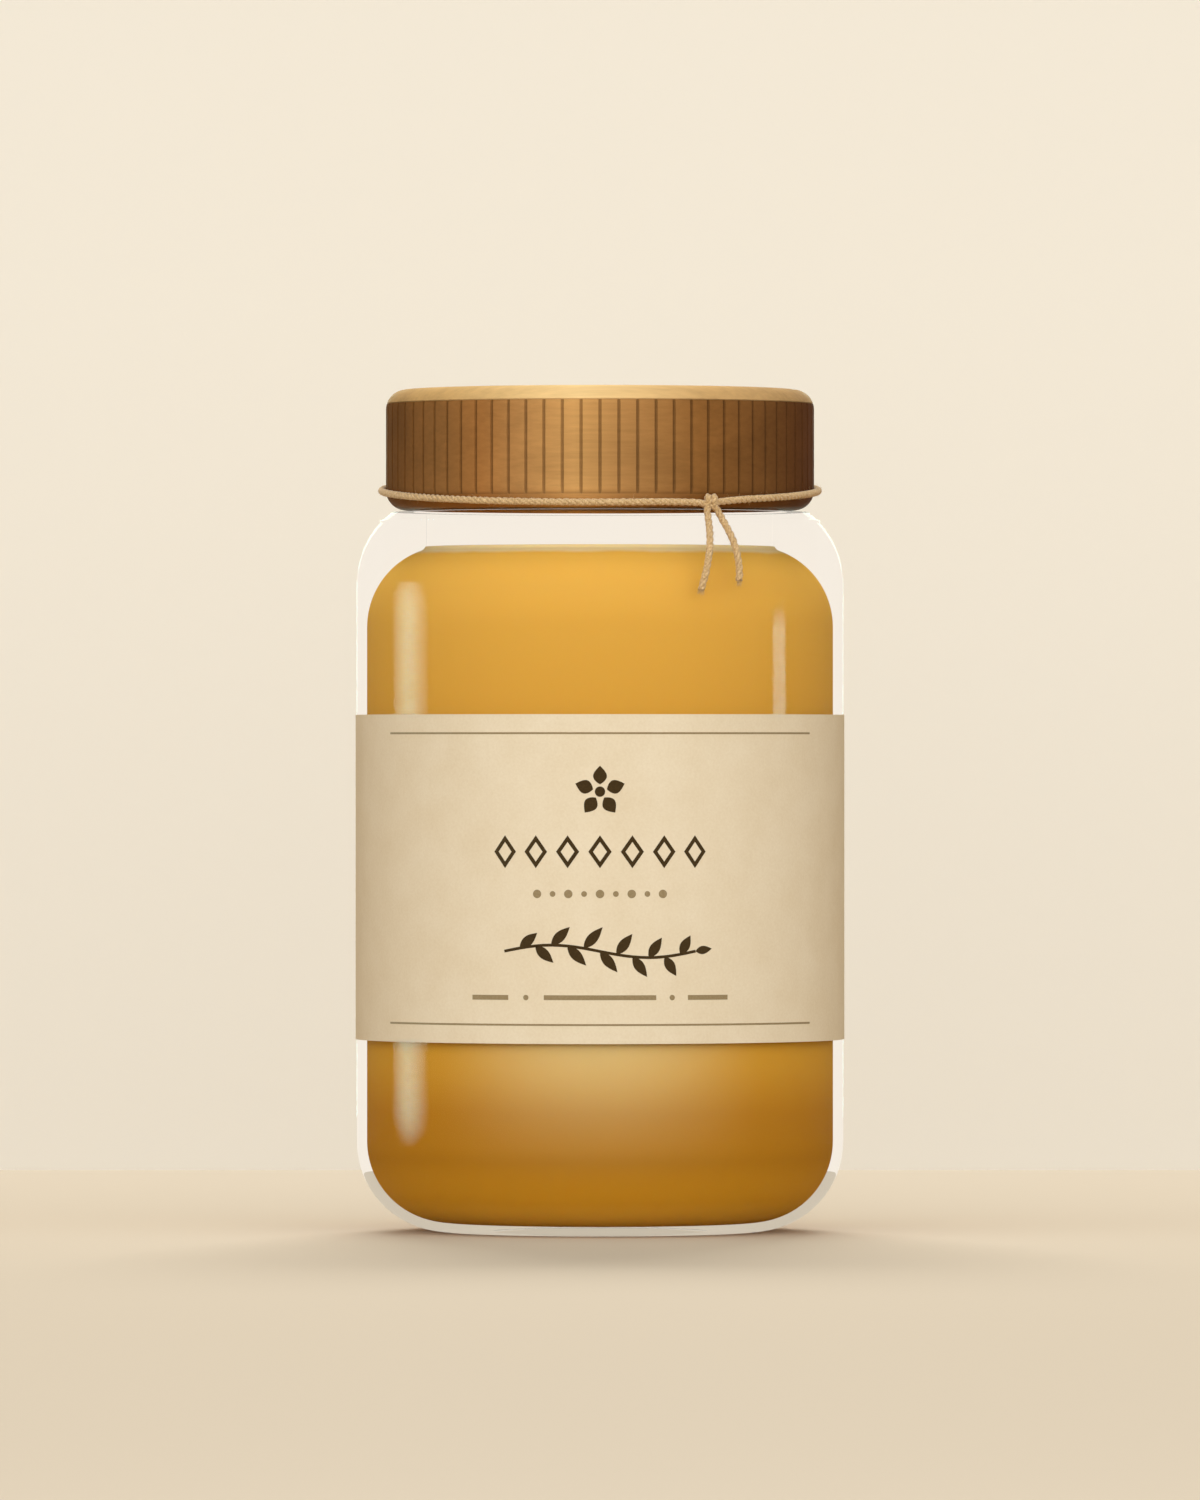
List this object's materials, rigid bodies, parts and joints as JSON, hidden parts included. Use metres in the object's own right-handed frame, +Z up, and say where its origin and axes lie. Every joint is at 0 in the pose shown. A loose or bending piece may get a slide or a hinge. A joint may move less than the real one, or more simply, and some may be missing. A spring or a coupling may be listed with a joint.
{
  "type": "honey jar",
  "caption": "Round clear glass jar of golden honey with a grooved wooden cap, a paper band label and a thin twine tied round the cap.",
  "frame": {"origin": "centre of the ring that the jar stands on", "axes": "+Z up the jar's own axis, -Y out of the middle of the label"},
  "size_m": [0.072, 0.072, 0.1238],
  "materials": {
    "clear_glass": "clear, smooth, pressed and blown",
    "honey": "thick golden syrup, clear to cloudy, darker low down",
    "cap_wood": "turned, stained brown, satin oiled, fine upright grooves",
    "disc_wood": "turned, paler, satin oiled",
    "label_paper": "uncoated warm cream paper",
    "jute": "two-ply twisted jute twine"
  },
  "bodies": {
    "root": {"jar": "clear_glass", "honey": "honey", "cap": "cap_wood", "cap_disc": "disc_wood", "label": "label_paper", "twine_loop": "jute", "twine_knot": "jute", "twine_tail_left": "jute", "twine_tail_right": "jute"}
  },
  "joints": []
}
